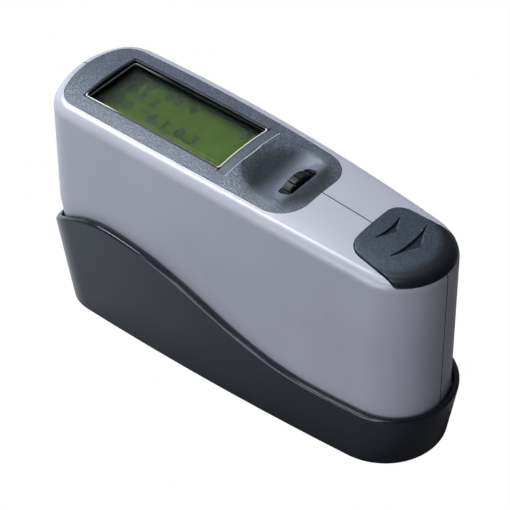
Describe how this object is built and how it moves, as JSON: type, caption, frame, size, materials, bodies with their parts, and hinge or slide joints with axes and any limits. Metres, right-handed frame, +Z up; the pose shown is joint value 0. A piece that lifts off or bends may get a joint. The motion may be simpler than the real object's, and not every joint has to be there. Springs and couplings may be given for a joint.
{
  "type": "gloss meter",
  "caption": "Hand-held gloss meter with a slim split case, display, scroll wheel and sliding battery cover, standing in its calibration holder with a black glass tile.",
  "frame": {"origin": "on the table, under the middle of the holder", "axes": "+X from the display end to the battery cover, +Y to the left side of the meter, +Z up"},
  "size_m": [0.161, 0.0526, 0.0859],
  "materials": {
    "case_plastic": "silver grey moulded plastic, fine satin",
    "holder_plastic": "near black moulded plastic, satin",
    "bezel_plastic": "dark blue grey, fine texture",
    "cover_plastic": "near black, satin",
    "tile_glass": "polished black glass",
    "foam": "soft black foam",
    "window_glass": "clear window",
    "lcd_glass": "green liquid crystal glass",
    "backlight_plastic": "milky light guide",
    "sheet_steel": "bent sheet",
    "board": "green circuit board",
    "screw_steel": "turned steel",
    "cell": "plain sleeve over a steel can",
    "inner_plastic": "black moulded plastic",
    "lens_glass": "polished optical glass",
    "lamp_metal": "gilt can",
    "wheel_rubber": "ridged dark rubber"
  },
  "bodies": {
    "holder": {"calibration_holder": "holder_plastic", "calibration_tile": "tile_glass", "tile_pad": "foam", "holder_cover": "holder_plastic", "cover_screws": "screw_steel"},
    "meter": {"left_housing": "case_plastic", "right_housing": "case_plastic", "base_plate": "inner_plastic", "base_screws": "screw_steel", "battery": "cell", "battery_sleeve": "inner_plastic", "battery_contact": "sheet_steel", "optics_left": "inner_plastic", "optics_right": "inner_plastic", "source_lenses": "lens_glass", "receiver_lenses": "lens_glass", "light_sources": "lamp_metal", "light_detectors": "lamp_metal", "main_board": "board", "board_screws": "screw_steel", "bezel": "bezel_plastic", "display_window": "window_glass", "lcd_frame": "sheet_steel", "lcd_panel": "lcd_glass", "backlight": "backlight_plastic", "display_board": "board", "wheel_bracket": "inner_plastic", "wheel_switch": "inner_plastic"},
    "wheel_carrier": {"wheel_carrier": "inner_plastic", "wheel_axle": "screw_steel"},
    "wheel": {"scroll_wheel": "wheel_rubber"},
    "battery_cover": {"battery_cover": "cover_plastic", "cover_contact": "sheet_steel"}
  },
  "joints": [
    {"name": "meter_lift", "type": "slide", "parent": "holder", "child": "meter", "axis": [0, 0, 1], "range_m": [0, 0.034]},
    {"name": "wheel_press", "type": "slide", "parent": "meter", "child": "wheel_carrier", "axis": [0, 0, -1], "range_m": [0, 0.0005], "stiffness_N_per_m": 2000, "springref_m": -0.0004},
    {"name": "wheel_spin", "type": "hinge", "parent": "wheel_carrier", "child": "wheel", "pos_m": [0.01715, 0, 0.07527], "axis": [1, 0, 0], "continuous": true},
    {"name": "cover_slide", "type": "slide", "parent": "meter", "child": "battery_cover", "axis": [1, 0, 0], "range_m": [0, 0.0125]}
  ]
}
